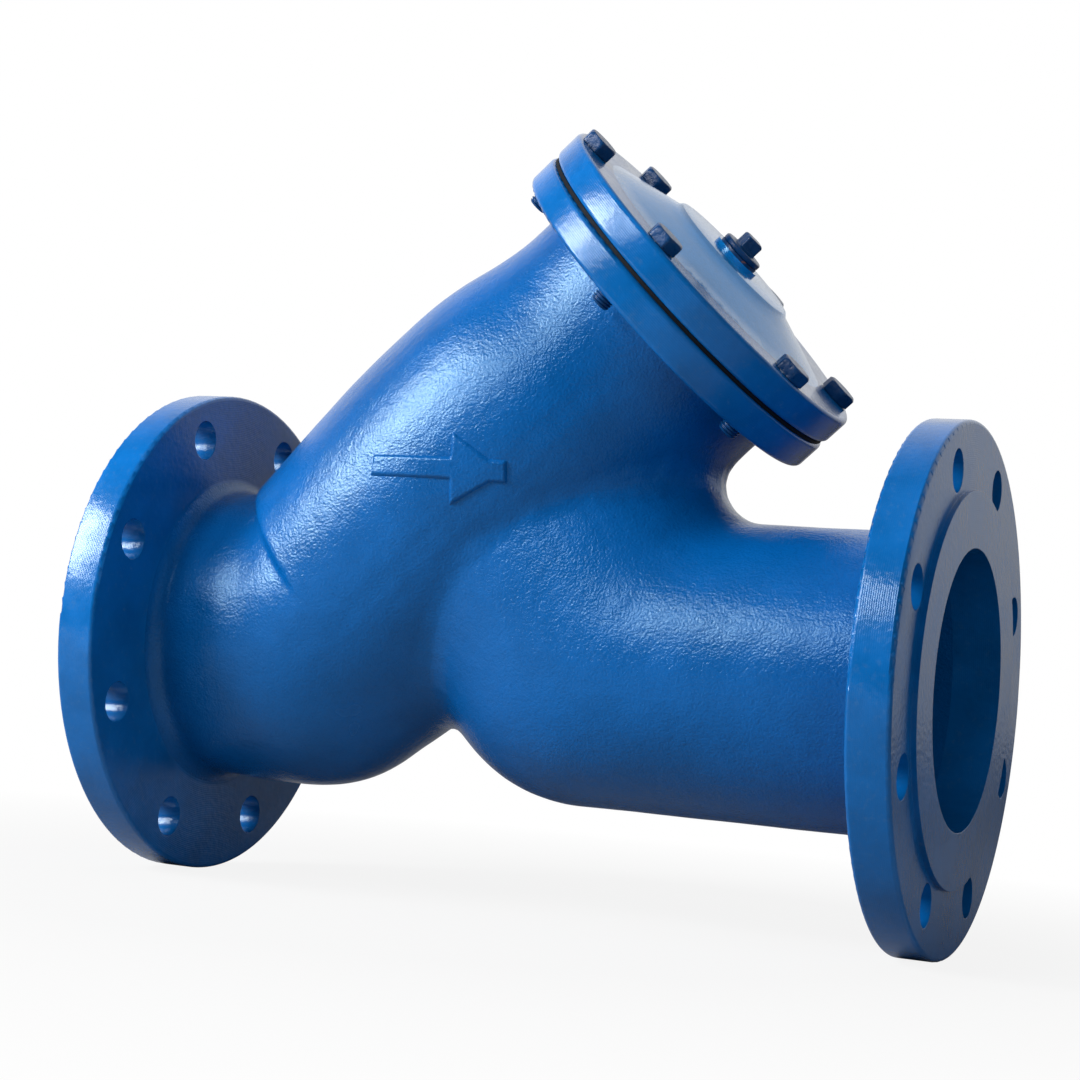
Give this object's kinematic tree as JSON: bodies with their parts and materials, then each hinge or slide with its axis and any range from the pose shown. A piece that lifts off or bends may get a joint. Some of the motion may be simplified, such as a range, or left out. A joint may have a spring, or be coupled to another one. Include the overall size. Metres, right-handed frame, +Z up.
{
  "type": "pipe strainer",
  "caption": "Flanged Y-pattern strainer for 150 mm pipe: painted iron body with an upright cleaning branch, bolted cover, drain plug and removable perforated screen.",
  "frame": {"origin": "centre of the inlet flange's bolt circle, on its bolting face behind the raised face", "axes": "+X along the pipe with the flow, +Z up in the plane of the branch, +Y to the far side"},
  "size_m": [0.48, 0.285, 0.4408],
  "materials": {
    "casting_paint": "glossy blue enamel over cast iron",
    "cover_paint": "glossy blue enamel over cast iron",
    "fastener_paint": "blue enamel over steel",
    "gasket_sheet": "matt graphite sheet",
    "stainless_perforated": "rolled perforated stainless sheet",
    "stainless_ring": "bright stainless",
    "copper_washer": "soft copper"
  },
  "bodies": {
    "casing": {"body_casting": "casting_paint"},
    "cover": {"cover": "cover_paint"},
    "gasket": {"cover_gasket": "gasket_sheet"},
    "screen": {"screen_sheet": "stainless_perforated", "screen_seat_ring": "stainless_ring", "screen_top_ring": "stainless_ring", "screen_seam_strip": "stainless_ring"},
    "plug_washer": {"plug_washer": "copper_washer"},
    "plug": {"drain_plug": "fastener_paint"},
    "bolt_1": {"cover_bolt_1": "fastener_paint"},
    "bolt_2": {"cover_bolt_2": "fastener_paint"},
    "bolt_3": {"cover_bolt_3": "fastener_paint"},
    "bolt_4": {"cover_bolt_4": "fastener_paint"},
    "bolt_5": {"cover_bolt_5": "fastener_paint"},
    "bolt_6": {"cover_bolt_6": "fastener_paint"}
  },
  "joints": [
    {"name": "cover_lift", "type": "slide", "parent": "casing", "child": "cover", "axis": [0.7169, 0, 0.6972], "range_m": [0, 0.4]},
    {"name": "gasket_lift", "type": "slide", "parent": "casing", "child": "gasket", "axis": [0.7169, 0, 0.6972], "range_m": [0, 0.36]},
    {"name": "screen_lift", "type": "slide", "parent": "casing", "child": "screen", "axis": [0.7169, 0, 0.6972], "range_m": [0, 0.32]},
    {"name": "bolt_1_withdraw", "type": "slide", "parent": "cover", "child": "bolt_1", "axis": [0.7169, 0, 0.6972], "range_m": [0, 0.046]},
    {"name": "bolt_2_withdraw", "type": "slide", "parent": "cover", "child": "bolt_2", "axis": [0.7169, 0, 0.6972], "range_m": [0, 0.046]},
    {"name": "bolt_3_withdraw", "type": "slide", "parent": "cover", "child": "bolt_3", "axis": [0.7169, 0, 0.6972], "range_m": [0, 0.046]},
    {"name": "bolt_4_withdraw", "type": "slide", "parent": "cover", "child": "bolt_4", "axis": [0.7169, 0, 0.6972], "range_m": [0, 0.046]},
    {"name": "bolt_5_withdraw", "type": "slide", "parent": "cover", "child": "bolt_5", "axis": [0.7169, 0, 0.6972], "range_m": [0, 0.046]},
    {"name": "bolt_6_withdraw", "type": "slide", "parent": "cover", "child": "bolt_6", "axis": [0.7169, 0, 0.6972], "range_m": [0, 0.046]},
    {"name": "plug_rise", "type": "slide", "parent": "cover", "child": "plug_washer", "axis": [0.7169, 0, 0.6972], "range_m": [0, 0.0146]},
    {"name": "plug_turn", "type": "hinge", "parent": "plug_washer", "child": "plug", "pos_m": [0.32933, 0, 0.23216], "axis": [0.7169, 0, 0.6972], "range_deg": [0, 2880]}
  ],
  "couplings": [
    {"joint": "gasket_lift", "follows": "cover_lift", "ratio": 0.9},
    {"joint": "screen_lift", "follows": "cover_lift", "ratio": 0.8},
    {"joint": "plug_rise", "follows": "plug_turn", "m_per_rad": 0.00028871}
  ]
}
